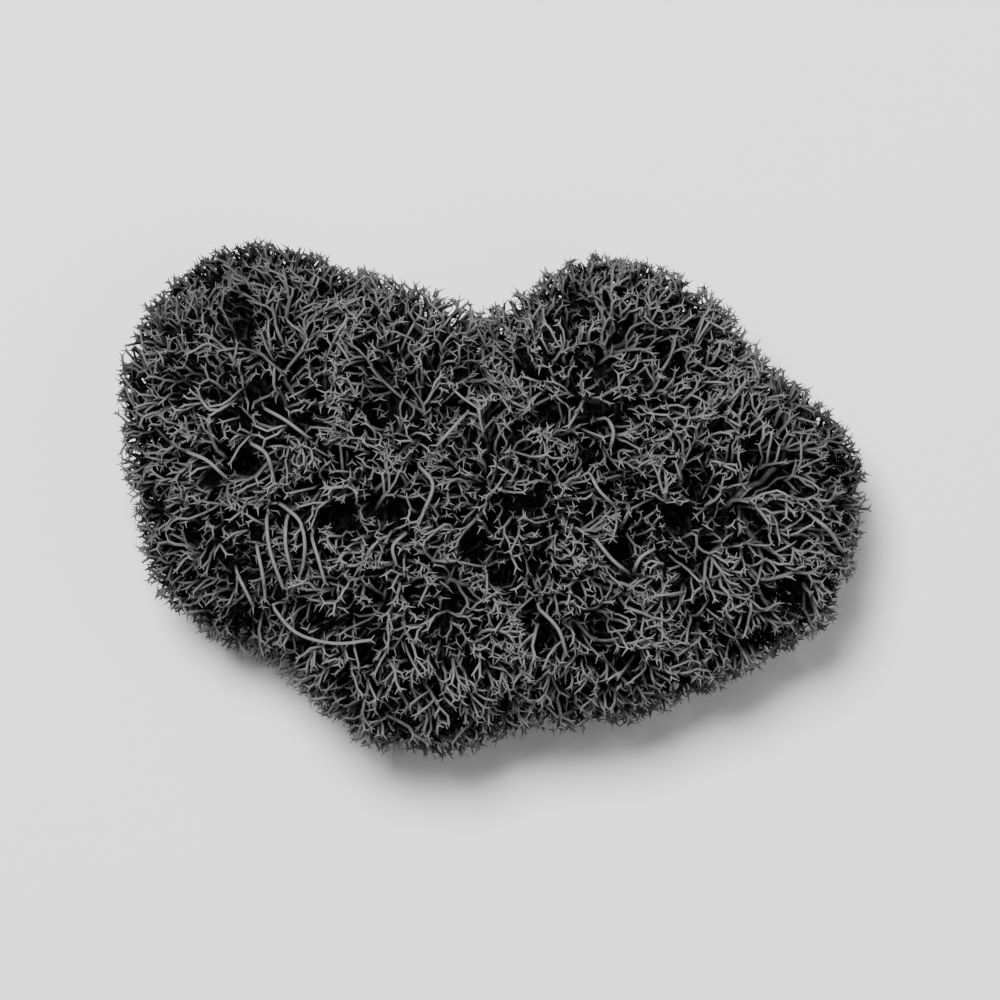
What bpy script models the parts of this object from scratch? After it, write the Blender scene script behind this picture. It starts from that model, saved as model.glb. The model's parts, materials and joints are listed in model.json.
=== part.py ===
"""Reindeer lichen clump, dyed charcoal and preserved, lying on its side on a table.

Nine tufts grow outward from a common middle and are pressed together. Each tuft is a bush of its own:
a knot of old stems, its foot reaching the neighbour that it grew against, and three-sided sprays that
stand out of the knot and fork three times before they end in points. Seen from above, +Y is the clump's
upper side. The part rests on a small flat spot under the middle tuft.
"""

import math
import random
from typing import NamedTuple

import bmesh
import bpy
from mathutils import Matrix, Quaternion, Vector, geometry, noise
from mathutils.bvhtree import BVHTree

MM = 0.001

# Gaps that keep neighbouring tufts, and neighbouring twigs, apart.
HALF_GAP = 0.15 * MM
TWIG_CLEARANCE = 0.2 * MM
FLOOR_CLEARANCE = 0.1 * MM

# The knot of old stems in a tuft, as a share of the tuft's own radius. It is fuller where a neighbour
# presses on the tuft.
KNOT_SHARE = 0.36
PRESSED_KNOT_SHARE = 0.46
FULLY_PRESSED = 0.4
KNOT_LUMP = 0.12
KNOT_LUMP_SCALE = 2.3
KNOT_SUBDIVISIONS = 2
CUT_TOLERANCE = 1e-7

# The knot's feet: how far past the wall they would run, and how narrow they are.
FOOT_OVERRUN = 2.5 * MM
FOOT_SHARPNESS = 4
STAND_OVERRUN = 3.5 * MM
STAND_SHARPNESS = 2

# Lumps in the rounded outline of a tuft, and their size across.
CROWN_LUMP = 0.08
LUMP_SCALE = 1.6
LUMP_OFFSET = 10 * MM

# How softly the outline runs over the creases between tufts, and how often it is halved to find it.
CREASE_FILL = 2.6 * MM
HALVINGS = 12
NEARLY_ALONG = 1e-6

# Sprays are aimed at points scattered over the outline. The first pass keeps the points this far apart,
# the second fills in closer. The points are drawn from this many candidates a tuft, clear of its walls.
SPRAY_SPACINGS = (9.1 * MM, 7.8 * MM)
CANDIDATES = 700
WALL_MARGIN = 1.2 * MM
SHORTEST_SPRAY = 3.0 * MM

# The root of a spray, sunk in the knot, and how far its stem may lean off the straight way out.
ROOT_SINK = 1.8 * MM
ROOT_RADIUS = 0.85 * MM
CROOK = 0.3


class Level(NamedTuple):
    """One fork after another: how long its twigs are, of the way from knot to outline, and how thick."""

    share: float
    radius: float


LEVELS = (Level(0.36, 0.65 * MM), Level(0.32, 0.55 * MM), Level(0.3, 0.45 * MM), Level(0.5, 0.15 * MM))
SIDES = 3

# A fork: how far its twigs tilt off their parent and swing round it, and how high the crotch stands, as
# a share of the parent's radius.
FORK_TILT = (math.radians(26), math.radians(60))
FORK_SWING = 0.6
FORK_RISE = 0.8

# Each twig is tried a few times, every try shorter, down to this share of its full length.
TRIES = 14
LEAST_SHORTENING = 0.5

# How far twigs may aim past the outline, how far their ends may then lie past it, and the least share of
# a twig's length that is taken to lead outward.
STRAY = 0.6 * MM
END_STRAY = 1.5 * STRAY
LEAST_LEAN = 0.45

# Twigs count as near each other within this reach. More room than the ample clearance is no better.
NEAR_SHARE = 1.5
NEAR_REACH = 2 * MM
AMPLE_CLEARANCE = 3 * TWIG_CLEARANCE

CHARCOAL = 0.045
CHARCOAL_SPREAD = 0.006
ROUGHNESS = 0.9
SHARP_ANGLE = math.radians(50)
SEED = 11

STANDING_TUFT = "tuft_middle"


class Tuft(NamedTuple):
    """A rounded bush of lichen: the middle of it, its radius across and up, and the tuft it grew against."""

    name: str
    centre: Vector
    spread: float
    rise: float
    grows_from: str


def tuft(name, x, y, z, spread, rise, grows_from):
    return Tuft(name, Vector((x, y, z)) * MM, spread * MM, rise * MM, grows_from)


TUFTS = (
    tuft("tuft_middle", 2.0, 0.4, 19.6, 15.8, 18.8, "tuft_middle_left"),
    tuft("tuft_middle_left", -15.6, 0.8, 18.0, 15.2, 17.2, "tuft_middle"),
    tuft("tuft_upper_left", -28.0, 14.3, 17.6, 17.0, 17.2, "tuft_middle_left"),
    tuft("tuft_upper_middle", -12.4, 12.8, 19.0, 14.0, 16.8, "tuft_middle"),
    tuft("tuft_upper_right", 13.4, 13.8, 19.2, 16.3, 18.0, "tuft_middle"),
    tuft("tuft_right", 24.6, -0.6, 17.6, 18.6, 17.4, "tuft_upper_right"),
    tuft("tuft_lower_right", 10.4, -10.2, 17.2, 15.6, 16.8, "tuft_middle"),
    tuft("tuft_lower_left", -9.6, -12.2, 17.6, 16.8, 17.2, "tuft_middle_left"),
    tuft("tuft_left", -28.8, -2.2, 15.0, 14.2, 14.8, "tuft_middle_left"),
)


class Wall(NamedTuple):
    """A plane that a tuft stays behind, with its normal pointing out of the tuft."""

    point: Vector
    normal: Vector


def clear_scene():
    for obj in list(bpy.data.objects):
        bpy.data.objects.remove(obj)


def walls_of(own):
    """The planes between a tuft and its neighbours, each where the two round outlines would meet."""
    walls = [Wall(Vector((0, 0, FLOOR_CLEARANCE)), Vector((0, 0, -1)))]
    for other in TUFTS:
        if other.name == own.name:
            continue
        across = other.centre - own.centre
        share = 0.5 + (own.spread**2 - other.spread**2) / (2 * across.length_squared)
        normal = across.normalized()
        walls.append(Wall(own.centre + across * share - normal * HALF_GAP, normal))
    return walls


def depth_behind(walls, point):
    """How far a point lies behind the nearest wall; negative once it is past one."""
    return min((wall.point - point).dot(wall.normal) for wall in walls)


def way_to_wall(walls, start, direction):
    """The distance along a direction to the first wall that stands in the way."""
    distances = [
        (wall.point - start).dot(wall.normal) / direction.dot(wall.normal)
        for wall in walls
        if direction.dot(wall.normal) > NEARLY_ALONG
    ]
    return min(distances, default=math.inf)


def round_reach(own, direction):
    """The radius of the tuft's lumpy rounded outline in a direction, with no neighbours."""
    flat = (direction.x**2 + direction.y**2) / own.spread**2
    upright = direction.z**2 / own.rise**2
    lump = noise.noise(direction * LUMP_SCALE + own.centre / LUMP_OFFSET)
    return (1 + CROWN_LUMP * lump) / math.sqrt(flat + upright)


def depth_in_clump(point):
    """How far a point lies below the clump's outline, which runs smoothly over the creases between tufts."""
    total = 0.0
    for own in TUFTS:
        offset = point - own.centre
        depth = round_reach(own, offset.normalized()) - offset.length
        total += math.exp(depth / CREASE_FILL)
    return CREASE_FILL * math.log(total)


def open_reach(own, direction):
    """How far it is from the middle of a tuft to the clump's outline in a direction, found by halving."""
    near, far = 0.0, 2 * max(own.spread, own.rise)
    for _ in range(HALVINGS):
        middle = (near + far) / 2
        if depth_in_clump(own.centre + direction * middle) > 0:
            near = middle
        else:
            far = middle
    return near


class Foot(NamedTuple):
    """Where the knot of a tuft is drawn out: which way, how far past the wall, and how narrow."""

    way: Vector
    overrun: float
    sharpness: float


def feet_of(own):
    """Feet towards the knot that a tuft grew against and those that grew on it, and one to stand on."""
    feet = [
        Foot((other.centre - own.centre).normalized(), FOOT_OVERRUN, FOOT_SHARPNESS)
        for other in TUFTS
        if own.grows_from == other.name or other.grows_from == own.name
    ]
    if own.name == STANDING_TUFT:
        feet.append(Foot(Vector((0, 0, -1)), STAND_OVERRUN, STAND_SHARPNESS))
    return feet


def knot_reach(own, walls, feet, direction):
    """The radius of the knot of old stems, drawn out into feet that run past the walls they are cut by."""
    full = round_reach(own, direction)
    pressed = 1 - way_to_wall(walls, own.centre, direction) / full
    share = KNOT_SHARE + (PRESSED_KNOT_SHARE - KNOT_SHARE) * min(1.0, max(0.0, pressed / FULLY_PRESSED))
    lump = noise.noise(direction * KNOT_LUMP_SCALE - own.centre / LUMP_OFFSET)
    radius = full * share * (1 + KNOT_LUMP * lump)
    for foot in feet:
        longest = way_to_wall(walls, own.centre, foot.way) + foot.overrun
        nearness = max(0.0, direction.dot(foot.way)) ** foot.sharpness
        radius = max(radius, longest * nearness)
    return radius


def cut_off(bm, wall):
    """Cuts away what lies past a wall and closes the cut with one flat face."""
    everything = bm.verts[:] + bm.edges[:] + bm.faces[:]
    cut = bmesh.ops.bisect_plane(
        bm,
        geom=everything,
        dist=CUT_TOLERANCE,
        plane_co=wall.point,
        plane_no=wall.normal,
        clear_outer=True,
    )
    rim = [item for item in cut["geom_cut"] if isinstance(item, bmesh.types.BMEdge)]
    if rim:
        bmesh.ops.edgeloop_fill(bm, edges=rim)


def knot_mesh(own, walls):
    """The lumpy knot, as a ball drawn out to its feet and cut flat at the walls and at the table."""
    feet = feet_of(own)
    bm = bmesh.new()
    bmesh.ops.create_icosphere(bm, subdivisions=KNOT_SUBDIVISIONS, radius=1)
    for foot in feet:
        nearest = max(bm.verts, key=lambda vert: vert.co.dot(foot.way))
        nearest.co = foot.way
    for vert in bm.verts:
        direction = vert.co.normalized()
        vert.co = direction * knot_reach(own, walls, feet, direction)
    for wall in walls[1:]:
        cut_off(bm, Wall(wall.point - own.centre, wall.normal))
    cut_off(bm, Wall(Vector((0, 0, -own.centre.z)), Vector((0, 0, -1))))
    surface = BVHTree.FromBMesh(bm)
    mesh = bpy.data.meshes.new(own.name)
    bm.to_mesh(mesh)
    bm.free()
    return mesh, surface


def even_directions(count, turn):
    """Directions spread evenly over a sphere along a spiral."""
    golden_angle = math.pi * (3 - math.sqrt(5))
    for k in range(count):
        z = 1 - (2 * k + 1) / count
        ring = math.sqrt(1 - z * z)
        angle = k * golden_angle
        yield turn @ Vector((ring * math.cos(angle), ring * math.sin(angle), z))


class Aim(NamedTuple):
    """Where a spray heads for on the clump's outline."""

    tuft: str
    direction: Vector
    reach: float
    target: Vector


def scattered_aims(rng):
    """Aims for sprays, scattered evenly over the whole clump, its furthest points first."""
    turn = Quaternion((rng.random(), rng.random(), rng.random(), rng.random())).normalized()
    candidates = []
    for own in TUFTS:
        walls = walls_of(own)
        for direction in even_directions(CANDIDATES, turn):
            reach = open_reach(own, direction)
            target = own.centre + direction * reach
            if depth_behind(walls, target) > WALL_MARGIN:
                candidates.append(Aim(own.name, direction, reach, target))
    rng.shuffle(candidates)
    sides = [Vector(side) for side in ((1, 0, 0), (-1, 0, 0), (0, 1, 0), (0, -1, 0), (0, 0, 1))]
    furthest = [max(candidates, key=lambda aim: aim.target.dot(side)) for side in sides]
    aims = []
    for spacing in SPRAY_SPACINGS:
        for aim in furthest + candidates:
            if all((aim.target - other.target).length > spacing for other in aims):
                aims.append(aim)
    return aims


class Twig(NamedTuple):
    """One straight length of a spray."""

    start: Vector
    end: Vector
    radius: float


def gap_between(first, second):
    """The distance between the surfaces of two twigs, taken as round."""
    ends = geometry.intersect_line_line(first.start, first.end, second.start, second.end)
    pairs = [nearest_on(first, second.start), nearest_on(first, second.end)]
    pairs += [nearest_on(second, first.start), nearest_on(second, first.end)]
    if ends and on_twig(first, ends[0]) and on_twig(second, ends[1]):
        pairs.append((ends[0] - ends[1]).length)
    return min(pairs) - first.radius - second.radius


def nearest_on(twig, point):
    on_line, share = geometry.intersect_point_line(point, twig.start, twig.end)
    share = min(1.0, max(0.0, share))
    return (point - twig.start.lerp(twig.end, share)).length


def on_twig(twig, point):
    share = geometry.intersect_point_line(point, twig.start, twig.end)[1]
    return 0 <= share <= 1


class Bush:
    """The sprays of one tuft, grown so that no twig meets another, the table or a neighbouring tuft."""

    def __init__(self, own, walls, rng):
        self.own = own
        self.walls = walls
        self.rng = rng
        self.twigs = []

    def room(self, twig, kin):
        """The clearance round a twig, leaving out the twigs in kin that it grows from or beside."""
        middle = (twig.start + twig.end) / 2
        near = (twig.end - twig.start).length * NEAR_SHARE + NEAR_REACH
        gaps = [
            gap_between(twig, other)
            for other in self.twigs
            if other not in kin and (middle - (other.start + other.end) / 2).length < near
        ]
        return min(gaps, default=near)

    def fits(self, twig):
        inside = depth_in_clump(twig.end) >= -END_STRAY
        return inside and depth_behind(self.walls, twig.end) >= twig.radius

    def best_twig(self, parent, side, length, radius, kin):
        """The roomiest of a few tries at a twig that tilts off the end of its parent to one side, or None."""
        outward = (parent.end - self.own.centre).normalized()
        way_out = depth_in_clump(parent.end) + STRAY
        axis = (parent.end - parent.start).normalized()
        side = (side - axis * side.dot(axis)).normalized()
        best, most = None, TWIG_CLEARANCE
        for attempt in range(TRIES):
            tilt = self.rng.uniform(*FORK_TILT)
            swing = Quaternion(axis, self.rng.uniform(-FORK_SWING, FORK_SWING))
            shorter = 1 - (1 - LEAST_SHORTENING) * attempt / TRIES
            way = axis * math.cos(tilt) + swing @ side * math.sin(tilt)
            full = min(length, way_out / max(LEAST_LEAN, way.dot(outward)))
            twig = Twig(parent.end, parent.end + way * full * shorter, radius)
            if not self.fits(twig):
                continue
            room = self.room(twig, kin)
            if room > most:
                best, most = twig, min(room, AMPLE_CLEARANCE)
        return best

    def stem(self, direction, gap, knot_radius):
        """The first twig of a spray, its root sunk in the knot, or None where there is no room for it."""
        root = self.own.centre + direction * (knot_radius - ROOT_SINK)
        length = ROOT_SINK + gap * LEVELS[0].share
        for _ in range(TRIES):
            crook = Vector([self.rng.uniform(-CROOK, CROOK) for _ in range(3)])
            twig = Twig(root, root + (direction + crook).normalized() * length, LEVELS[0].radius)
            if self.fits(twig) and self.room(twig, ()) > TWIG_CLEARANCE:
                return twig
        return None

    def fork(self, bm, face, parent, length, level):
        """Up to three twigs off the end of a twig. Gives the end face of each with the twig it ends."""
        axis = (parent.end - parent.start).normalized()
        poked = bmesh.ops.poke(bm, faces=[face])
        poked["verts"][0].co += axis * parent.radius * FORK_RISE
        grown = []
        for part in poked["faces"]:
            side = part.calc_center_median() - parent.end
            kin = [parent] + [twig for _, twig in grown]
            twig = self.best_twig(parent, side, length, level.radius, kin)
            if twig is None:
                continue
            if level is LEVELS[-1]:
                bmesh.ops.poke(bm, faces=[part])["verts"][0].co = twig.end
            else:
                part = push_out(bm, part, twig)
            grown.append((part, twig))
        self.twigs += [twig for _, twig in grown]
        return grown

    def spray(self, direction, gap, knot_radius):
        """A stem that forks again and again into points, as a mesh, or None where there is no room for it."""
        stem = self.stem(direction, gap, knot_radius)
        if stem is None:
            return None
        self.twigs.append(stem)
        along = stem.end - stem.start
        roll = Quaternion((0, 0, 1), self.rng.uniform(0, math.tau))
        place = Matrix.LocRotScale(stem.start + along / 2, along.to_track_quat("Z", "Y") @ roll, None)
        bm = bmesh.new()
        bmesh.ops.create_cone(
            bm,
            cap_ends=True,
            segments=SIDES,
            radius1=ROOT_RADIUS,
            radius2=stem.radius,
            depth=along.length,
            matrix=place,
        )
        top = min(bm.faces, key=lambda face: (face.calc_center_median() - stem.end).length)
        ends = [(top, stem)]
        for level in LEVELS[1:]:
            length = gap * level.share
            ends = [grown for face, twig in ends for grown in self.fork(bm, face, twig, length, level)]
        return bm


def push_out(bm, face, twig):
    """Pushes a triangle out to the end of a twig, set square across it."""
    axis = (twig.end - twig.start).normalized()
    moved = bmesh.ops.extrude_discrete_faces(bm, faces=[face])["faces"][0]
    centre = moved.calc_center_median()
    for vert in moved.verts:
        spoke = vert.co - centre
        spoke -= axis * spoke.dot(axis)
        vert.co = twig.end + spoke.normalized() * twig.radius
    return moved


def spray_objects(own, walls, surface, aims, rng):
    """The tuft's sprays, each an object in a collection of its own that a Boolean then joins to the knot."""
    sprays = bpy.data.collections.new(own.name + "_sprays")
    bush = Bush(own, walls, rng)
    for aim in aims:
        if aim.tuft != own.name:
            continue
        knot_radius = surface.ray_cast(Vector(), aim.direction)[3]
        gap = aim.reach - knot_radius
        bm = bush.spray(aim.direction, gap, knot_radius) if gap > SHORTEST_SPRAY else None
        if bm is None:
            continue
        bmesh.ops.translate(bm, vec=-own.centre, verts=bm.verts)
        mesh = bpy.data.meshes.new("spray")
        bm.to_mesh(mesh)
        bm.free()
        spray = bpy.data.objects.new("spray", mesh)
        spray.location = own.centre
        sprays.objects.link(spray)
    return sprays


def lichen_material(name, shade):
    """Dull dyed lichen: matt, colourless, and a little darker in some tufts than in others."""
    material = bpy.data.materials.new(name + "_lichen")
    material.use_nodes = True
    shader = material.node_tree.nodes["Principled BSDF"]
    shader.inputs["Base Color"].default_value = (shade, shade, shade, 1)
    shader.inputs["Roughness"].default_value = ROUGHNESS
    shader.inputs["Metallic"].default_value = 0
    return material


def join_sprays(body, sprays):
    """Joins a tuft's sprays to its knot as one solid, and removes what they were made from."""
    bpy.context.scene.collection.children.link(sprays)
    union = body.modifiers.new("sprays", "BOOLEAN")
    union.operation = "UNION"
    union.solver = "EXACT"
    union.operand_type = "COLLECTION"
    union.collection = sprays
    bpy.context.view_layer.update()
    graph = bpy.context.evaluated_depsgraph_get()
    joined = bpy.data.meshes.new_from_object(body.evaluated_get(graph))
    body.modifiers.remove(union)
    body.data = joined
    for spray in list(sprays.objects):
        bpy.data.objects.remove(spray)
    bpy.data.collections.remove(sprays)


def make_tuft(own, aims, clump, collection, rng):
    """One tuft: its knot and sprays, joined, with a material of its own."""
    walls = walls_of(own)
    knot, surface = knot_mesh(own, walls)
    body = bpy.data.objects.new(own.name, knot)
    body.location = own.centre
    collection.objects.link(body)
    join_sprays(body, spray_objects(own, walls, surface, aims, rng))
    body.data.shade_smooth()
    body.data.set_sharp_from_angle(angle=SHARP_ANGLE)
    shade = CHARCOAL + rng.uniform(-CHARCOAL_SPREAD, CHARCOAL_SPREAD)
    body.data.materials.clear()
    body.data.materials.append(lichen_material(own.name, shade))
    body.parent = clump
    return body


def stand_over_origin(clump, bodies):
    """Moves the clump sideways so that the origin lies under the middle of its box."""
    corners = [body.matrix_world @ vert.co for body in bodies for vert in body.data.vertices]
    for axis in (0, 1):
        low = min(corner[axis] for corner in corners)
        high = max(corner[axis] for corner in corners)
        clump.location[axis] = -(low + high) / 2


def main():
    clear_scene()
    collection = bpy.data.collections.new("reindeer_lichen_clump")
    bpy.context.scene.collection.children.link(collection)
    clump = bpy.data.objects.new("clump", None)
    collection.objects.link(clump)
    rng = random.Random(SEED)
    aims = scattered_aims(rng)
    bodies = [make_tuft(own, aims, clump, collection, rng) for own in TUFTS]
    bpy.context.view_layer.update()
    stand_over_origin(clump, bodies)


main()
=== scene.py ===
"""Fine branching, finish, floor and light for a clump of reindeer lichen, dyed charcoal and preserved.

Each tuft is grown anew from a core of old stems. Points are sown through the outer part of the tuft,
closer together near its surface. Each point then joins the best placed neighbour that stands nearer to
the tuft's root, which gives forked twigs that thicken towards the root. Every twig that ends is given a
star of short prongs.
"""

import json
import math
import random
from typing import NamedTuple

import bmesh
import bpy
import numpy as np
from mathutils import Matrix, Quaternion, Vector, kdtree, noise

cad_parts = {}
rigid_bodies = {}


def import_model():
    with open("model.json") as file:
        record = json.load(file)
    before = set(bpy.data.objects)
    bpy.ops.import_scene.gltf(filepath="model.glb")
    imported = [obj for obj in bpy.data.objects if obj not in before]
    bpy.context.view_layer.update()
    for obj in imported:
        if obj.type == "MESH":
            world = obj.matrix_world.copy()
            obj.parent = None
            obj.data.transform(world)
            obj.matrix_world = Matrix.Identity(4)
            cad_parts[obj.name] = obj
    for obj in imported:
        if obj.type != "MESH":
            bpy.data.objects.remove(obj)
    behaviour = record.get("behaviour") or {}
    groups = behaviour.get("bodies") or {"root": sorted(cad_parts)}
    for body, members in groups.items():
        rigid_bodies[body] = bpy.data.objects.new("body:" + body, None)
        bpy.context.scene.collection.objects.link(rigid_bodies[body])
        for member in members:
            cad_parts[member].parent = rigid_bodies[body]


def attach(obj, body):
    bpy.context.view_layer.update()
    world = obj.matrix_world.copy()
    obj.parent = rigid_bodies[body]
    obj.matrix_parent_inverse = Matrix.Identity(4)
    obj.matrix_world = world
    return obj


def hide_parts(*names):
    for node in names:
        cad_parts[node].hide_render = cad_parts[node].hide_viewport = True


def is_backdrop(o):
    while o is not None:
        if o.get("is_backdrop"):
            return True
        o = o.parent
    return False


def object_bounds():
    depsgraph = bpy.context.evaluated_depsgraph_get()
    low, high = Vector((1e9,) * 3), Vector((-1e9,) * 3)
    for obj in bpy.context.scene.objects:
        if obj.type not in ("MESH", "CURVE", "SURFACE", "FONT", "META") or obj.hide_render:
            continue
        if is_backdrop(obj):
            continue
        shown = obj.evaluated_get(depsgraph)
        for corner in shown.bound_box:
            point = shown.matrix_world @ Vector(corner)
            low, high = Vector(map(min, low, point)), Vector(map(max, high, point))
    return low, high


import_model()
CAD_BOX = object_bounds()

bl_info = {
    "name": "Reindeer Lichen Clump",
    "version": (1, 0, 0),
    "blender": (4, 5, 0),
    "location": "3D View > Sidebar > Lichen",
    "description": "Grows the fine twigs of a clump of reindeer lichen and sets up its stage",
    "category": "Add Mesh",
}

MM = 0.001


class Tuft(NamedTuple):
    """A rounded bush of lichen: the middle of it, its radius across and up, and where its root lies."""

    centre: Vector
    spread: float
    rise: float
    root: Vector


def tuft(x, y, z, spread, rise, root_x, root_y):
    return Tuft(Vector((x, y, z)) * MM, spread * MM, rise * MM, Vector((root_x, root_y, z)) * MM)


TUFTS = {
    "tuft_middle": tuft(2.14, -0.79, 19.60, 15.8, 18.8, 1.4, -1.0),
    "tuft_middle_left": tuft(-15.46, -0.39, 18.00, 15.2, 17.2, -14.0, -0.3),
    "tuft_upper_left": tuft(-27.86, 13.11, 17.60, 17.0, 17.2, -23.2, 8.9),
    "tuft_upper_middle": tuft(-12.26, 11.61, 19.00, 14.0, 16.8, -10.2, 6.8),
    "tuft_upper_right": tuft(13.54, 12.61, 19.20, 16.3, 18.0, 10.4, 8.0),
    "tuft_right": tuft(24.74, -1.79, 17.60, 18.6, 17.4, 20.4, -1.2),
    "tuft_lower_right": tuft(10.54, -11.39, 17.20, 15.6, 16.8, 8.4, -7.5),
    "tuft_lower_left": tuft(-9.46, -13.39, 17.60, 16.8, 17.2, -8.9, -8.2),
    "tuft_left": tuft(-28.66, -3.39, 15.00, 14.2, 14.8, -24.4, -2.9),
}

# The lumpy rounded outline of a tuft, the same as that of its CAD solid.
CROWN_LUMP = 0.08
LUMP_SCALE = 1.6
LUMP_OFFSET = 10 * MM
CREASE_FILL = 2.6 * MM

# Small hollows between the twig ends, which break up the surface, with painted shade in them: their size and
# depth, in millimetres.
HOLLOWS = ((3.4, 4.4), (1.5, 4.0))
HOLLOW_OFFSET = Vector((3.1, 7.7, 1.3))

# Pits on the side that faces up, darkened by painted shade as well as by their own shadow: place, radius and
# depth, in millimetres.
PITS = (
    (20.4, -2.2, 1.9, 7.0),
    (13.6, -5.9, 2.0, 7.0),
    (-27.5, 13.2, 1.4, 5.0),
    (-28.8, 4.3, 1.9, 6.0),
    (-12.3, -1.3, 1.9, 6.0),
    (-18.4, -1.7, 1.9, 6.0),
    (-2.8, -5.3, 2.0, 5.0),
    (0.2, -8.8, 1.5, 5.0),
    (33.2, -11.1, 2.1, 6.0),
    (30.0, -16.0, 1.6, 4.0),
    (-20.2, -14.0, 1.5, 5.0),
    (-5.1, -11.7, 1.4, 5.0),
    (18.7, 17.6, 1.2, 4.0),
    (12.3, 1.1, 1.3, 5.0),
    (-35.3, -3.6, 1.3, 4.0),
    (-15.5, -17.4, 1.4, 4.0),
    (5.5, -15.5, 1.4, 4.0),
    (28.5, 5.0, 1.3, 4.0),
)

# How low the pits reach, and how ragged their sides are: by what share, over which distance, how steep.
PIT_FLOOR = 21 * MM
PIT_RAGGED = 0.4
PIT_RAGGED_SIZE = 1.5 * MM
PIT_STEEPNESS = 4

# Long bare twigs on the side that faces up, by the points that they pass, in millimetres.
STALKS = (
    ((-28.0, -4.8), (-27.3, -8.0), (-27.0, -10.2)),
    ((-26.8, -1.3), (-26.4, -5.5), (-24.9, -10.0)),
    ((-24.4, -1.8), (-24.5, -5.0), (-23.9, -8.0)),
    ((-25.6, -0.2), (-23.0, -2.2), (-22.3, -4.8), (-22.5, -7.6)),
    ((-30.2, -8.4), (-29.2, -10.4), (-28.4, -12.2)),
    ((-21.6, -4.0), (-20.8, -6.5), (-20.0, -9.4)),
    ((-36.2, 5.6), (-33.6, 4.6), (-31.6, 2.8)),
    ((-27.2, 10.6), (-24.6, 9.2), (-22.2, 7.4)),
    ((-28.8, 6.6), (-26.8, 5.4), (-26.0, 3.2)),
    ((-3.4, 10.4), (-5.4, 8.2), (-7.2, 6.2)),
    ((-9.6, 4.2), (-7.6, 1.8), (-8.8, -1.6)),
    ((-10.4, -3.6), (-12.2, -5.2), (-11.8, -7.4)),
    ((10.2, 3.2), (11.2, 1.2), (12.8, -0.4)),
    ((15.2, -8.4), (16.0, -6.6), (17.6, -5.6)),
    ((15.0, -8.6), (12.8, -6.8), (11.0, -4.6)),
    ((35.6, -1.8), (37.8, -3.6), (39.4, -6.0)),
    ((12.2, 9.4), (12.9, 7.8), (12.6, 6.0)),
    ((-26.4, -12.0), (-23.4, -15.2), (-19.0, -16.4), (-14.8, -16.0)),
    ((4.0, -12.0), (6.6, -14.6), (7.6, -17.6)),
)
STALK_RADIUS = 0.24 * MM
STALK_POINTS = 5

# How far a long twig lies under the surface, and how far its root dips below that, over which share of it.
# Its end dips by a third as much over the last fifth.
STALK_SINK = 0.5 * MM
STALK_DIP = 3.2 * MM
ROOT_DIP_SPEED = 3.5
ROOT_DIP_POWER = 1.5
END_DIP = STALK_DIP / 3
END_DIP_SPEED = 5

# No other twig is sown this close beside a long one, down to this far under it.
STALK_ROOM = 0.8 * MM
STALK_SHADE = 1.3 * MM
STALK_SEARCH = 1.6

# Heights between which the clump's upper surface is looked for, by halving.
LOWEST_CROWN = 0.02
HIGHEST_CROWN = 0.05
HALVINGS = 12

# How far twigs of one tuft reach in among those of the next, and how high they stay off the table.
MINGLING = 1.0 * MM
OVERREACH = 0.3 * MM
EDGE = 0.5 * MM
FLOOR_CLEARANCE = 0.6 * MM
FLOOR_COVER = 2 * MM
PRONG_CLEARANCE = 0.1 * MM

# Depth under the surface, in millimetres, and how far apart the points are sown there.
SPACING = ((0.0, 1.08), (1.2, 1.14), (2.4, 1.4), (4.5, 1.85), (7.5, 2.5), (11.0, 3.3))
DEEPEST_POINT = 12 * MM

# Below this height the points are sown closer, by this share.
DENSE_BELOW = 16 * MM
DENSER = 0.92

# Finely felted places: place on the table and radius in millimetres, and how much closer the twigs stand.
FELTED = ((-31.0, 23.0, 14.0, 0.16), (14.0, 27.0, 10.0, 0.14), (38.0, 6.0, 9.0, 0.1))

# The lattice that the points are drawn from, and how far they stray from it.
LATTICE = 0.94 * MM
JITTER = 0.34

# Twigs run out along the clump more than they rise from it, because it lies on its side.
FLATTENED = Vector((1, 1, 0.75))

# Painted shade, as a depth: how much darker the twigs are made below the crown, and where they are felted: so
# much for each bit of height, up to a limit, and so much for a spacing shrunk to nothing.
LOW_PAINTED_SHADE = 0.12
LOWEST_PAINTED_SHADE = 1.35 * MM
CROWN_HEIGHT = 31 * MM
FELT_PAINTED_SHADE = 5 * MM

# The core, as a share of the tuft's radius, and its lumps.
CORE_SHARE = 0.42
CORE_LUMP = 0.16
CORE_LUMP_SCALE = 3.1
CORE_SUBDIVISIONS = 3
ROOT_SINK = 0.25

# How kinks are eased, and how deep under the surface a twig may still end in prongs.
EASING = 0.3
DEEPEST_PRONGS = 5 * MM
PRONG_COUNTS = (2, 2, 3, 3, 4)
PRONG_TILT = (math.radians(20), math.radians(60))
PRONG_SWING = 0.5
PRONG_LENGTHS = (0.5, 1.4)
PRONG_TAPER = (0.95, 0.25)
TWIG_SIDES = 4
PRONG_SIDES = 3

# Vertices further than this from their twig's nearest point count as deeper, which paints more shade on the
# core.
TWIG_REACH = 1.5 * MM

# The finish: how the shine and the mottling go.
SHINE = 0.3
MOTTLE_SCALE = 900
MOTTLE_DETAIL = 3
MOTTLE_AMOUNT = 0.5

# The stage: places in metres, sizes and powers of the lights.
FLOOR_GREY = (0.9, 0.9, 0.9, 1)
FLOOR_ROUGHNESS = 0.9
LIGHTS = (
    ("key_light", Vector((-0.16, 0.3, 1.0)), 0.3, 24),
    ("fill_light", Vector((0.4, 0.0, 1.0)), 0.8, 3),
)
LIT_POINT = Vector((0, 0, 0.02))
ROOM_LIGHT = 0.09
SENSOR_WIDTH = 36


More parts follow.
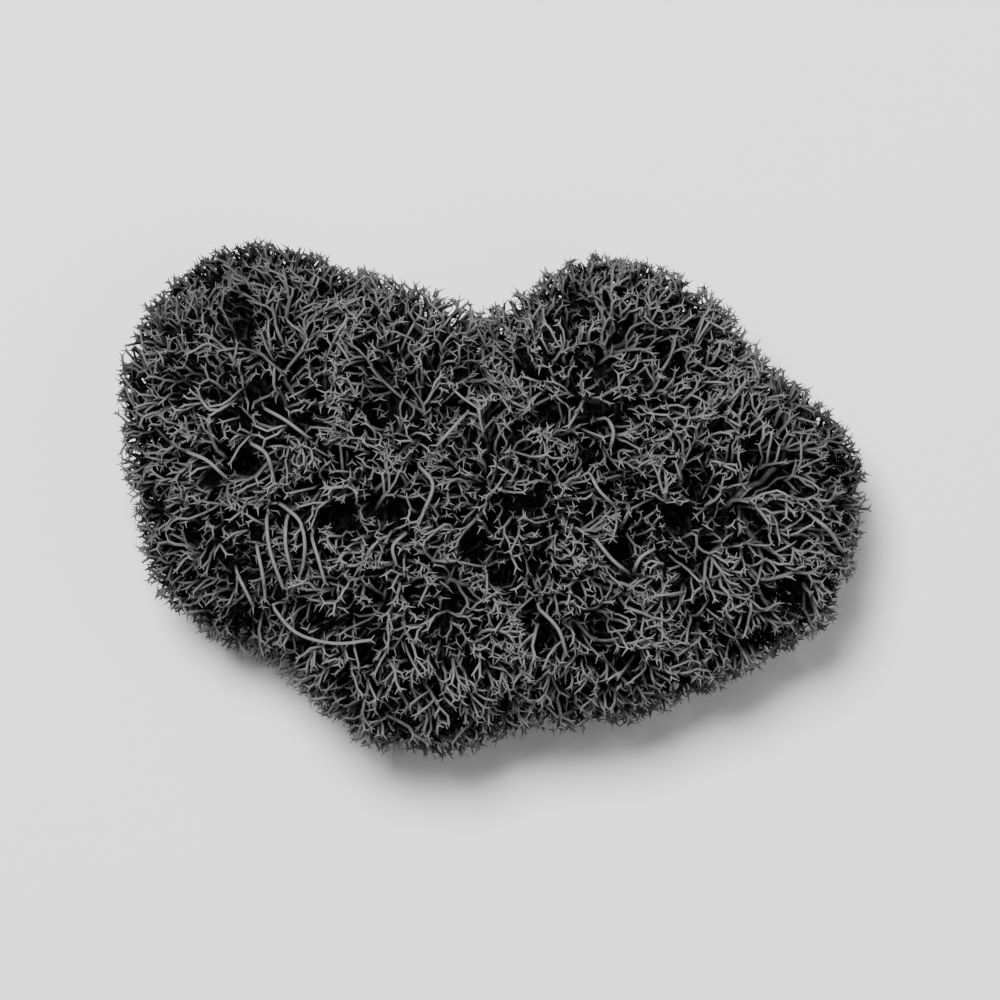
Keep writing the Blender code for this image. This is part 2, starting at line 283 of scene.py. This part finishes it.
def walls_of(own):
    """The planes between a tuft and its neighbours, as pairs of a point and a normal pointing out."""
    walls = []
    for other in TUFTS.values():
        if other is own:
            continue
        across = other.centre - own.centre
        share = 0.5 + (own.spread**2 - other.spread**2) / (2 * across.length_squared)
        walls.append((own.centre + across * share, across.normalized()))
    return walls


def round_reach(own, direction):
    """The radius of the tuft's lumpy rounded outline in a direction, with no neighbours."""
    flat = (direction.x**2 + direction.y**2) / own.spread**2
    upright = direction.z**2 / own.rise**2
    lump = noise.noise(direction * LUMP_SCALE + own.centre / LUMP_OFFSET)
    return (1 + CROWN_LUMP * lump) / math.sqrt(flat + upright)


def depth_in_clump(point):
    """How far a point lies below the clump's outline, which runs smoothly over the creases between tufts."""
    total = 0.0
    for own in TUFTS.values():
        offset = point - own.centre
        depth = round_reach(own, offset.normalized()) - offset.length
        total += math.exp(depth / CREASE_FILL)
    return CREASE_FILL * math.log(total)


def spacing_at(depth):
    depths = [row[0] * MM for row in SPACING]
    gaps = [row[1] * MM for row in SPACING]
    return float(np.interp(depth, depths, gaps))


def pitted_depth(point, depth):
    """The depth of a point below the surface once the small hollows and the deep pits are sunk in it."""
    for size, deep in HOLLOWS:
        depth -= deep * MM * max(0.0, noise.noise(point / (size * MM) + HOLLOW_OFFSET))
    if point.z > PIT_FLOOR:
        ragged = 1 + PIT_RAGGED * noise.noise(point / PIT_RAGGED_SIZE)
        for x, y, radius, deep in PITS:
            off = math.hypot(point.x - x * MM, point.y - y * MM) / (radius * MM * ragged)
            if off < 1:
                depth -= deep * MM * (1 - off**PIT_STEEPNESS)
    return depth


def lattice_points(low, high, rng):
    """Points of a jittered close-packed lattice inside a box."""
    step = LATTICE * math.sqrt(2)
    counts = [math.ceil((high[k] - low[k]) / step) for k in range(3)]
    grid = np.stack(np.meshgrid(*[np.arange(n) for n in counts], indexing="ij"), -1).reshape(-1, 3)
    layers = [grid + shift for shift in ((0, 0, 0), (0.5, 0.5, 0), (0.5, 0, 0.5), (0, 0.5, 0.5))]
    points = np.concatenate(layers) * step + np.array(low)
    points += rng.uniform(-JITTER, JITTER, points.shape) * LATTICE
    return points[rng.permutation(len(points))]


def closeness_at(point):
    """How the spacing shrinks at the finely felted places."""
    share = 1.0
    for x, y, radius, shrink in FELTED:
        off = math.hypot(point.x - x * MM, point.y - y * MM) / (radius * MM)
        share = min(share, 1 - shrink * max(0.0, 1 - off**2))
    return share


def surface_height(x, y):
    """The height of the clump's outline over a place on the table."""
    low, high = LOWEST_CROWN, HIGHEST_CROWN
    for _ in range(HALVINGS):
        middle = (low + high) / 2
        if depth_in_clump(Vector((x, y, middle))) > 0:
            low = middle
        else:
            high = middle
    return low


def stalk_paths():
    """Each long bare twig as evenly spaced points close under the clump's surface, its root dipped in."""
    paths = []
    for corners in STALKS:
        stretches = len(corners) - 1
        count = STALK_POINTS * stretches + 1
        path = []
        for k in range(count):
            along = k / (count - 1)
            place = catmull_rom([Vector(corner) * MM for corner in corners], along * stretches)
            root_dip = STALK_DIP * max(0.0, 1 - ROOT_DIP_SPEED * along) ** ROOT_DIP_POWER
            end_dip = END_DIP * max(0.0, END_DIP_SPEED * along - (END_DIP_SPEED - 1))
            sink = STALK_SINK + root_dip + end_dip
            path.append(Vector((place.x, place.y, surface_height(place.x, place.y) - sink)))
        paths.append(path)
    return paths


def catmull_rom(corners, along):
    """A point on the smooth curve through some corners, counted in stretches from the first."""
    k = min(int(along), len(corners) - 2)
    t = along - k
    before = corners[k - 1] if k else 2 * corners[0] - corners[1]
    after = corners[k + 2] if k + 2 < len(corners) else 2 * corners[-1] - corners[-2]
    here, there = corners[k], corners[k + 1]
    turn = (2 * before - 5 * here + 4 * there - after) * t * t
    rest = (3 * here - before - 3 * there + after) * t * t * t
    return (2 * here + (there - before) * t + turn + rest) / 2


def owner_of(point):
    """The tuft that a point lies in."""
    return max(TUFTS, key=lambda name: TUFTS[name].spread**2 - (point - TUFTS[name].centre).length_squared)


def hides_stalk(point, stalk_points):
    """Whether a point lies over or close beside a long bare twig."""
    return any(
        abs(point.x - at.x) < STALK_ROOM
        and (point.x - at.x) ** 2 + (point.y - at.y) ** 2 < STALK_ROOM**2
        and point.z > at.z - STALK_SHADE
        for at in stalk_points
    )


def painted_shade_at(point, covered):
    """Painted shade on a twig, as a depth: the deeper under the unpitted outline, the lower in the clump and the
    more finely felted the place, the darker.
    """
    lower = min(LOWEST_PAINTED_SHADE, LOW_PAINTED_SHADE * max(0.0, CROWN_HEIGHT - point.z))
    return covered + lower + FELT_PAINTED_SHADE * (1 - closeness_at(point))


class Sown(NamedTuple):
    """A sown point, how deep it lies under the pitted surface, and how much painted shade darkens its colour, as
    a depth.
    """

    place: Vector
    depth: float
    painted_shade: float


def sow(own, stalk_points, rng):
    """Points sown through the outer part of a tuft, closer together near its surface."""
    walls = walls_of(own)
    spread = Vector((own.spread, own.spread, own.rise)) * (1 + CROWN_LUMP)
    low = own.centre - spread
    high = own.centre + spread
    low.z = FLOOR_CLEARANCE
    sown = []
    places = lattice_points(low, high, rng)
    for place, chance in zip(places, rng.random(len(places))):
        point = Vector(place)
        if any((point - wall).dot(normal) > MINGLING for wall, normal in walls):
            continue
        if any(abs(point[k]) > CAD_BOX[1][k] + OVERREACH for k in range(3)):
            continue
        covered = min(depth_in_clump(point) - EDGE, FLOOR_COVER + point.z)
        depth = pitted_depth(point, covered)
        if not 0 < depth < DEEPEST_POINT or hides_stalk(point, stalk_points):
            continue
        apart = spacing_at(depth) * closeness_at(point) * (1 if point.z > DENSE_BELOW else DENSER)
        if chance < (LATTICE / apart) ** 3:
            # The painted shade follows the depth under the outline without the hollows and pits, so twigs at
            # their bottoms come out dark.
            sown.append(Sown(point, depth, painted_shade_at(point, covered)))
    return sown


class Twigs:
    """The tree that joins the sown points of a tuft."""

    NEIGHBOURS = 18
    FARTHEST = 4.2 * MM
    LEAST_GAIN = 0.2
    STRAIGHTNESS = 1.3
    CROWDING = 0.12
    SHARPEST_BEND = 0.75
    MOST_CHILDREN = 3

    def __init__(self, own, sown, stalks):
        self.places = [point.place for point in sown]
        self.depths = [point.depth for point in sown]
        self.painted_shades = [point.painted_shade for point in sown]
        for stalk in stalks:
            self.places += stalk
            self.depths += [STALK_SINK] * len(stalk)
            self.painted_shades += [STALK_SINK] * len(stalk)
        self.parent = [None] * len(self.places)
        self.children = [[] for _ in self.places]
        self.heading = [None] * len(self.places)
        self.stalk_points = set(range(len(sown), len(self.places)))
        self.join_stalks(len(sown), stalks)
        self.join(own)

    def join_stalks(self, start, stalks):
        """Joins each long bare twig from end to end, which leaves its first point to be joined to the rest."""
        for stalk in stalks:
            for k in range(start + 1, start + len(stalk)):
                self.parent[k] = k - 1
                self.children[k - 1].append(k)
                self.heading[k] = (self.places[k] - self.places[k - 1]).normalized()
            self.heading[start] = self.heading[start + 1]
            start += len(stalk)

    def grows_on(self, twig, root):
        """Whether one point has another among those that it grows from."""
        while twig is not None and twig != root:
            twig = self.parent[twig]
        return twig == root

    def join(self, own):
        """Joins each point, from the root outward, to the neighbour that gives the shortest, straightest way."""
        tree = kdtree.KDTree(len(self.places))
        for k, place in enumerate(self.places):
            tree.insert(place, k)
        tree.balance()
        far = [((place - own.root) * FLATTENED).length for place in self.places]
        for k in sorted(range(len(far)), key=far.__getitem__):
            if self.parent[k] is not None:
                continue
            outward = ((self.places[k] - own.root) * FLATTENED).normalized()
            best, least = None, math.inf
            for place, other, distance in tree.find_n(self.places[k], self.NEIGHBOURS):
                if far[other] >= far[k] - self.LEAST_GAIN * distance or distance > self.FARTHEST:
                    continue
                if other == k:
                    continue
                if len(self.children[other]) >= self.MOST_CHILDREN or self.heading[other] is None:
                    continue
                if k in self.stalk_points and self.grows_on(other, k):
                    continue
                way = (self.places[k] - place) / distance
                bend = 1 - way.dot(self.heading[other])
                cost = distance * (1 + self.STRAIGHTNESS * bend + self.CROWDING * len(self.children[other]))
                if bend < self.SHARPEST_BEND and cost < least:
                    best, least = other, cost
            if best is None:
                self.heading[k] = outward
                continue
            self.parent[k] = best
            self.children[best].append(k)
            self.heading[k] = (self.places[k] - self.places[best]).normalized()

    def smooth(self, amount):
        """Eases the kinks out of the twigs."""
        eased = list(self.places)
        for k, parent in enumerate(self.parent):
            if parent is None or not self.children[k]:
                continue
            ahead = sum((self.places[c] for c in self.children[k]), Vector()) / len(self.children[k])
            eased[k] = self.places[k].lerp((self.places[parent] + ahead) / 2, amount)
        self.places = eased

    def radii(self, tip, stem, power):
        """The radius at each point, so that a twig is as thick as all that grows from it asks."""
        load = [0.0] * len(self.places)
        order = self.from_the_tips()
        for k in order:
            if not self.children[k]:
                load[k] = 1.0
            if self.parent[k] is not None:
                load[self.parent[k]] += load[k]
        sizes = [min(stem, tip * weight ** (1 / power)) for weight in load]
        for k in self.stalk_points:
            sizes[k] = max(sizes[k], STALK_RADIUS)
        return sizes

    def from_the_tips(self):
        """Every point after all those that grow from it."""
        order = [k for k, parent in enumerate(self.parent) if parent is None]
        for k in order:
            order.extend(self.children[k])
        return reversed(order)

    def paths(self):
        """Unbroken runs of twig: each carries on through the thickest child, and the others start new runs."""
        runs = []
        starts = [(None, k) for k, parent in enumerate(self.parent) if parent is None]
        for start, k in starts:
            run = [k] if start is None else [start, k]
            while self.children[k]:
                first, *others = sorted(self.children[k], key=self.size.__getitem__, reverse=True)
                starts.extend((k, other) for other in others)
                run.append(first)
                k = first
            runs.append(run)
        return runs


def add_spline(curve, points, radii):
    spline = curve.splines.new("POLY")
    spline.points.add(len(points) - 1)
    spline.points.foreach_set("co", [value for point in points for value in (*point, 1)])
    spline.points.foreach_set("radius", radii)


def profile_ring(name, sides):
    """A closed ring of unit radius for the twigs' cross-section."""
    ring = bpy.data.curves.new(name, "CURVE")
    ring.dimensions = "2D"
    spline = ring.splines.new("POLY")
    spline.points.add(sides - 1)
    for k, point in enumerate(spline.points):
        angle = -math.tau * k / sides
        point.co = (math.cos(angle), math.sin(angle), 0, 1)
    spline.use_cyclic_u = True
    return bpy.data.objects.new(name, ring)


def prong_ways(heading, count, rng):
    """Directions of the short prongs that a twig ends in, evenly round its heading."""
    side = heading.orthogonal()
    turn = rng.uniform(0, math.tau)
    for k in range(count):
        tilt = rng.uniform(*PRONG_TILT)
        spin = Quaternion(heading, turn + math.tau * k / count + rng.uniform(-PRONG_SWING, PRONG_SWING))
        yield heading * math.cos(tilt) + (spin @ side) * math.sin(tilt)


def core_mesh(own, bm):
    """The core of old stems that the twigs stand out of, made dark by painted shade."""
    place = Matrix.Translation(own.centre)
    made = bmesh.ops.create_icosphere(bm, subdivisions=CORE_SUBDIVISIONS, radius=1, matrix=place)
    for vert in made["verts"]:
        direction = vert.co - own.centre
        lump = noise.noise(direction * CORE_LUMP_SCALE + own.centre / LUMP_OFFSET)
        vert.co = own.centre + direction * CORE_SHARE * round_reach(own, direction) * (1 + CORE_LUMP * lump)


def make_mesh(curve, sides):
    """The curve's twigs as a mesh of slim closed tubes with the given number of sides."""
    ring = profile_ring("ring", sides)
    bpy.context.scene.collection.objects.link(ring)
    curve.bevel_mode = "OBJECT"
    curve.bevel_object = ring
    curve.use_fill_caps = True
    obj = bpy.data.objects.new("twigs", curve)
    bpy.context.scene.collection.objects.link(obj)
    bpy.context.view_layer.update()
    graph = bpy.context.evaluated_depsgraph_get()
    mesh = bpy.data.meshes.new_from_object(obj.evaluated_get(graph))
    bpy.data.objects.remove(obj)
    ring_curve = ring.data
    bpy.data.objects.remove(ring)
    bpy.data.curves.remove(curve)
    bpy.data.curves.remove(ring_curve)
    return mesh


def mark_painted_shade(mesh, twigs):
    """Keeps at each vertex its painted shade, as a depth under the surface, for the material to read."""
    tree = kdtree.KDTree(len(twigs.places))
    for k, place in enumerate(twigs.places):
        tree.insert(place, k)
    tree.balance()
    depths = []
    for vert in mesh.vertices:
        _, nearest, distance = tree.find(vert.co)
        depths.append((twigs.painted_shades[nearest] + max(0.0, distance - TWIG_REACH)) / MM)
    mesh.attributes.new("depth", "FLOAT", "POINT").data.foreach_set("value", depths)


def new_curve(name):
    curve = bpy.data.curves.new(name, "CURVE")
    curve.dimensions = "3D"
    curve.resolution_u = 1
    return curve


class LichenSizes(bpy.types.PropertyGroup):
    tip_radius: bpy.props.FloatProperty(
        name="Tip radius", description="Radius of the last twigs", default=0.16 * MM, subtype="DISTANCE"
    )
    stem_radius: bpy.props.FloatProperty(
        name="Stem radius",
        description="Radius that no stem passes",
        default=0.42 * MM,
        subtype="DISTANCE",
    )
    taper_power: bpy.props.FloatProperty(
        name="Taper power", description="Higher values thicken the stems more slowly", default=3.3
    )
    prong_length: bpy.props.FloatProperty(
        name="Prong length",
        description="Length of the prongs that end a twig",
        default=0.68 * MM,
        subtype="DISTANCE",
    )
    seed: bpy.props.IntProperty(name="Seed", description="Starts the random growth", default=7)


class LichenColours(bpy.types.PropertyGroup):
    tip: bpy.props.FloatVectorProperty(
        name="Tips",
        description="Colour of the outer twigs",
        subtype="COLOR",
        size=4,
        default=(0.165, 0.165, 0.165, 1),
    )
    # The Depths colour is painted shade, which the buried twigs and the core fade to.
    deep: bpy.props.FloatVectorProperty(
        name="Depths",
        description="Colour of the old stems",
        subtype="COLOR",
        size=4,
        default=(0.004, 0.004, 0.004, 1),
    )
    # Over this depth the painted shade takes the twigs from the tip colour to the Depths colour.
    fade: bpy.props.FloatProperty(
        name="Fade depth",
        description="Depth in millimetres at which the twigs have lost their light tips",
        default=3.4,
    )
    roughness: bpy.props.FloatProperty(
        name="Roughness",
        description="Roughness of the dry skin",
        default=0.8,
        subtype="FACTOR",
        min=0,
        max=1,
    )


class StageSizes(bpy.types.PropertyGroup):
    floor: bpy.props.FloatProperty(
        name="Floor size", description="Width of the pale floor", default=4.0, subtype="DISTANCE"
    )
    camera_height: bpy.props.FloatProperty(
        name="Camera height",
        description="Height of the camera over the floor",
        default=0.9,
        subtype="DISTANCE",
    )
    view_width: bpy.props.FloatProperty(
        name="View width", description="Width seen at the clump", default=0.116, subtype="DISTANCE"
    )


def lichen_material(name, colours):
    """Dull dyed lichen, darkened by painted shade away from the twig ends, and faintly uneven from twig to twig.
    """
    material = bpy.data.materials.new(name)
    material.use_nodes = True
    nodes = material.node_tree.nodes
    links = material.node_tree.links
    shader = nodes["Principled BSDF"]
    shader.inputs["Roughness"].default_value = colours.roughness
    shine = nodes.new("ShaderNodeMath")
    shine.operation = "MULTIPLY"
    shine.inputs[1].default_value = SHINE
    coordinates = nodes.new("ShaderNodeTexCoord")
    # The depth attribute holds each vertex's painted shade.
    painted_shade_mark = nodes.new("ShaderNodeAttribute")
    painted_shade_mark.attribute_name = "depth"
    depth = nodes.new("ShaderNodeMapRange")
    depth.inputs["From Min"].default_value = colours.fade
    depth.inputs["From Max"].default_value = 0
    mottle = nodes.new("ShaderNodeTexNoise")
    mottle.inputs["Scale"].default_value = MOTTLE_SCALE
    mottle.inputs["Detail"].default_value = MOTTLE_DETAIL
    uneven = nodes.new("ShaderNodeMath")
    uneven.operation = "MULTIPLY_ADD"
    uneven.inputs[1].default_value = MOTTLE_AMOUNT
    total = nodes.new("ShaderNodeMath")
    total.operation = "ADD"
    total.inputs[1].default_value = -MOTTLE_AMOUNT / 2
    total.use_clamp = True
    ramp = nodes.new("ShaderNodeValToRGB")
    ramp.color_ramp.elements[0].color = colours.deep
    ramp.color_ramp.elements[1].color = colours.tip
    links.new(painted_shade_mark.outputs["Fac"], depth.inputs["Value"])
    links.new(coordinates.outputs["Object"], mottle.inputs["Vector"])
    links.new(mottle.outputs["Fac"], uneven.inputs[0])
    links.new(depth.outputs["Result"], uneven.inputs[2])
    links.new(uneven.outputs["Value"], total.inputs[0])
    links.new(total.outputs["Value"], ramp.inputs["Fac"])
    links.new(total.outputs["Value"], shine.inputs[0])
    links.new(shine.outputs["Value"], shader.inputs["Specular IOR Level"])
    links.new(ramp.outputs["Color"], shader.inputs["Base Color"])
    return material


class MESH_OT_lichen_tuft(bpy.types.Operator):
    """Grow the fine twigs of one tuft round its core"""

    bl_idname = "mesh.lichen_tuft"
    bl_label = "Grow Lichen Tuft"
    bl_options = {"REGISTER", "UNDO"}

    node: bpy.props.StringProperty(name="Tuft", description="The CAD node that the twigs stand for")

    def execute(self, context):
        sizes = context.scene.lichen_sizes
        own = TUFTS[self.node]
        number = list(TUFTS).index(self.node)
        rng = random.Random(sizes.seed + number)
        stalks = [path for path in stalk_paths() if owner_of(path[len(path) // 2]) == self.node]
        search = STALK_SEARCH * own.spread
        near = [point for path in stalk_paths() for point in path if (point - own.centre).length < search]
        twigs = Twigs(own, sow(own, near, np.random.default_rng(sizes.seed + number)), stalks)
        twigs.size = twigs.radii(sizes.tip_radius, sizes.stem_radius, sizes.taper_power)
        twigs.smooth(EASING)
        curve = new_curve("twigs")
        for run in twigs.paths():
            points = [twigs.places[k] for k in run]
            radii = [twigs.size[k] for k in run]
            radii[0] = radii[1] if len(radii) > 1 else radii[0]
            if twigs.parent[run[0]] is None:
                points.insert(0, points[0].lerp(own.centre, ROOT_SINK))
                radii.insert(0, radii[0])
            add_spline(curve, points, radii)
        prongs = new_curve("prongs")
        for k, place in enumerate(twigs.places):
            if twigs.children[k] or twigs.depths[k] > DEEPEST_PRONGS:
                continue
            for way in prong_ways(twigs.heading[k], rng.choice(PRONG_COUNTS), rng):
                length = sizes.prong_length * rng.uniform(*PRONG_LENGTHS)
                end = place + way * length
                if end.z < PRONG_CLEARANCE:
                    continue
                add_spline(prongs, [place, end], [sizes.tip_radius * share for share in PRONG_TAPER])
        bm = bmesh.new()
        core_mesh(own, bm)
        for part in (make_mesh(curve, TWIG_SIDES), make_mesh(prongs, PRONG_SIDES)):
            bm.from_mesh(part)
            bpy.data.meshes.remove(part)
        mesh = bpy.data.meshes.new(self.node + "_twigs")
        bm.to_mesh(mesh)
        bm.free()
        mesh.shade_smooth()
        mark_painted_shade(mesh, twigs)
        piece = bpy.data.objects.new(self.node + "_twigs", mesh)
        context.scene.collection.objects.link(piece)
        mesh.materials.clear()
        mesh.materials.append(lichen_material(self.node + "_lichen", context.scene.lichen_colours))
        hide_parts(self.node)
        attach(piece, "root")
        return {"FINISHED"}


def aim(obj, target):
    obj.rotation_euler = (target - obj.location).to_track_quat("-Z", "Y").to_euler()


def add_area_light(context, name, place, size, power):
    light = bpy.data.lights.new(name, "AREA")
    light.shape = "SQUARE"
    light.size = size
    light.energy = power
    obj = bpy.data.objects.new(name, light)
    obj.location = place
    aim(obj, LIT_POINT)
    context.scene.collection.objects.link(obj)


class SCENE_OT_lichen_stage(bpy.types.Operator):
    """Lay the pale floor, hang the soft lights and set the camera over the clump"""

    bl_idname = "scene.lichen_stage"
    bl_label = "Set Lichen Stage"
    bl_options = {"REGISTER", "UNDO"}

    def execute(self, context):
        sizes = context.scene.lichen_stage
        bm = bmesh.new()
        bmesh.ops.create_grid(bm, x_segments=1, y_segments=1, size=sizes.floor / 2)
        mesh = bpy.data.meshes.new("floor")
        bm.to_mesh(mesh)
        bm.free()
        floor = bpy.data.objects.new("floor", mesh)
        context.scene.collection.objects.link(floor)
        paint = bpy.data.materials.new("pale_floor")
        paint.use_nodes = True
        shader = paint.node_tree.nodes["Principled BSDF"]
        shader.inputs["Base Color"].default_value = FLOOR_GREY
        shader.inputs["Roughness"].default_value = FLOOR_ROUGHNESS
        mesh.materials.append(paint)
        floor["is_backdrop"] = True
        for name, place, size, power in LIGHTS:
            add_area_light(context, name, place, size, power)
        world = bpy.data.worlds.new("soft_room")
        world.use_nodes = True
        world.node_tree.nodes["Background"].inputs["Color"].default_value = (1, 1, 1, 1)
        world.node_tree.nodes["Background"].inputs["Strength"].default_value = ROOM_LIGHT
        context.scene.world = world
        camera = bpy.data.cameras.new("camera")
        middle = (CAD_BOX[0].z + CAD_BOX[1].z) / 2
        camera.sensor_width = SENSOR_WIDTH
        camera.lens = camera.sensor_width * (sizes.camera_height - middle) / sizes.view_width
        obj = bpy.data.objects.new("camera", camera)
        obj.location = (0, 0, sizes.camera_height)
        context.scene.collection.objects.link(obj)
        context.scene.camera = obj
        return {"FINISHED"}


class VIEW3D_PT_lichen_clump(bpy.types.Panel):
    bl_label = "Lichen Clump"
    bl_idname = "VIEW3D_PT_lichen_clump"
    bl_space_type = "VIEW_3D"
    bl_region_type = "UI"
    bl_category = "Lichen"

    def draw(self, context):
        scene = context.scene
        for group in (scene.lichen_sizes, scene.lichen_colours, scene.lichen_stage):
            column = self.layout.column(align=True)
            for name in group.__annotations__:
                column.prop(group, name)
        for name in TUFTS:
            self.layout.operator("mesh.lichen_tuft", text="Grow " + name).node = name
        self.layout.operator("scene.lichen_stage")


CLASSES = (
    LichenSizes,
    LichenColours,
    StageSizes,
    MESH_OT_lichen_tuft,
    SCENE_OT_lichen_stage,
    VIEW3D_PT_lichen_clump,
)


def register():
    for cls in CLASSES:
        bpy.utils.register_class(cls)
    bpy.types.Scene.lichen_sizes = bpy.props.PointerProperty(type=LichenSizes)
    bpy.types.Scene.lichen_colours = bpy.props.PointerProperty(type=LichenColours)
    bpy.types.Scene.lichen_stage = bpy.props.PointerProperty(type=StageSizes)


def unregister():
    del bpy.types.Scene.lichen_stage
    del bpy.types.Scene.lichen_colours
    del bpy.types.Scene.lichen_sizes
    for cls in reversed(CLASSES):
        bpy.utils.unregister_class(cls)


def main():
    register()
    for node in TUFTS:
        bpy.ops.mesh.lichen_tuft(node=node)
    bpy.ops.scene.lichen_stage()
    boxes = {"cad": CAD_BOX, "visual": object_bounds()}
    {name: [list(corner) for corner in box] for name, box in boxes.items()}


if __name__ == "__main__":
    main()
